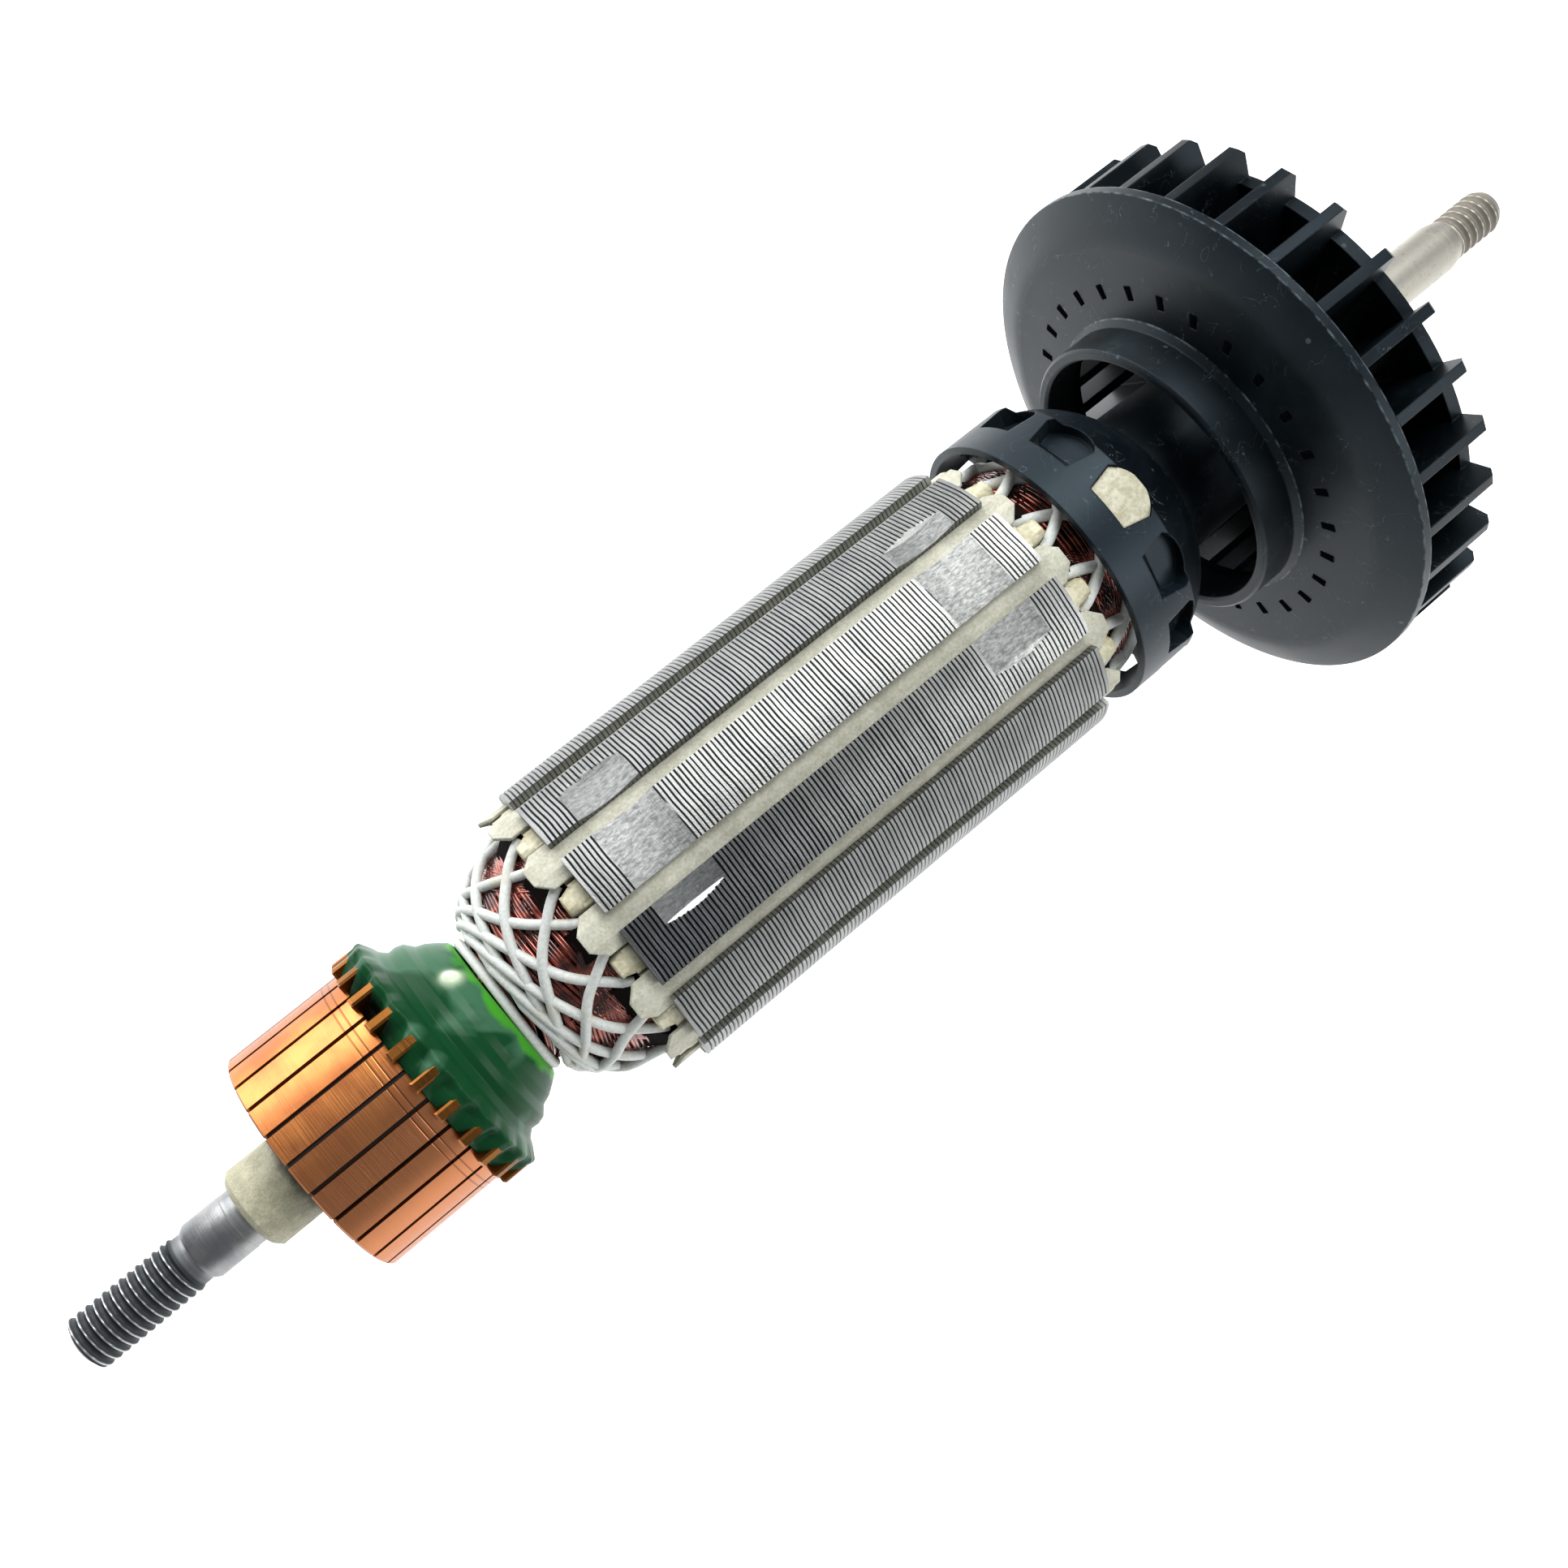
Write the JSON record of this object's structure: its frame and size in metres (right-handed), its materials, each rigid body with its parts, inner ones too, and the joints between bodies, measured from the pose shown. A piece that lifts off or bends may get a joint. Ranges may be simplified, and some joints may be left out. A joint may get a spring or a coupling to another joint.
{
  "type": "motor armature",
  "caption": "Wound armature of a small commutator motor: laminated core, copper commutator, laced coil ends and a shrouded radial fan on a stepped, threaded shaft.",
  "frame": {"origin": "on the shaft axis, in the middle of the commutator-side bearing journal", "axes": "+X along the shaft from the commutator end to the drive end, +Z through a tooth of the core"},
  "size_m": [0.1976, 0.0624, 0.0624],
  "materials": {
    "shaft_steel": "turned and ground",
    "sleeve_plastic": "moulded",
    "bush_plastic": "moulded, speckled",
    "phenolic": "moulded",
    "green_resin": "dipped and cured, glossy",
    "core_steel": "stamped sheets, ground outside",
    "enamelled_wire": "enamelled copper",
    "insulator_plastic": "moulded",
    "lacing_cord": "woven, varnished",
    "fan_plastic": "moulded",
    "putty": "hardened putty",
    "commutator_copper": "turned copper",
    "slot_paper": "pressed insulating paper"
  },
  "bodies": {
    "root": {"shaft": "shaft_steel", "shaft_insulating_sleeve": "sleeve_plastic", "front_bush": "bush_plastic", "commutator_moulding": "phenolic", "lead_resin": "green_resin", "lamination_core": "core_steel", "slot_windings": "enamelled_wire", "winding_front": "enamelled_wire", "winding_rear": "enamelled_wire", "end_insulator_front": "insulator_plastic", "end_insulator_rear": "insulator_plastic", "lacing_front": "lacing_cord", "lacing_rear": "lacing_cord", "fan_wheel": "fan_plastic", "fan_shroud": "fan_plastic", "balancing_putty": "putty", "commutator_bar_01": "commutator_copper", "commutator_bar_02": "commutator_copper", "commutator_bar_03": "commutator_copper", "commutator_bar_04": "commutator_copper", "commutator_bar_05": "commutator_copper", "commutator_bar_06": "commutator_copper", "commutator_bar_07": "commutator_copper", "commutator_bar_08": "commutator_copper", "commutator_bar_09": "commutator_copper", "commutator_bar_10": "commutator_copper", "commutator_bar_11": "commutator_copper", "commutator_bar_12": "commutator_copper", "commutator_bar_13": "commutator_copper", "commutator_bar_14": "commutator_copper", "commutator_bar_15": "commutator_copper", "commutator_bar_16": "commutator_copper", "commutator_bar_17": "commutator_copper", "commutator_bar_18": "commutator_copper", "commutator_bar_19": "commutator_copper", "commutator_bar_20": "commutator_copper", "commutator_bar_21": "commutator_copper", "commutator_bar_22": "commutator_copper", "commutator_bar_23": "commutator_copper", "commutator_bar_24": "commutator_copper", "slot_liner_01": "slot_paper", "slot_liner_02": "slot_paper", "slot_liner_03": "slot_paper", "slot_liner_04": "slot_paper", "slot_liner_05": "slot_paper", "slot_liner_06": "slot_paper", "slot_liner_07": "slot_paper", "slot_liner_08": "slot_paper", "slot_liner_09": "slot_paper", "slot_liner_10": "slot_paper", "slot_liner_11": "slot_paper", "slot_liner_12": "slot_paper"}
  },
  "joints": []
}
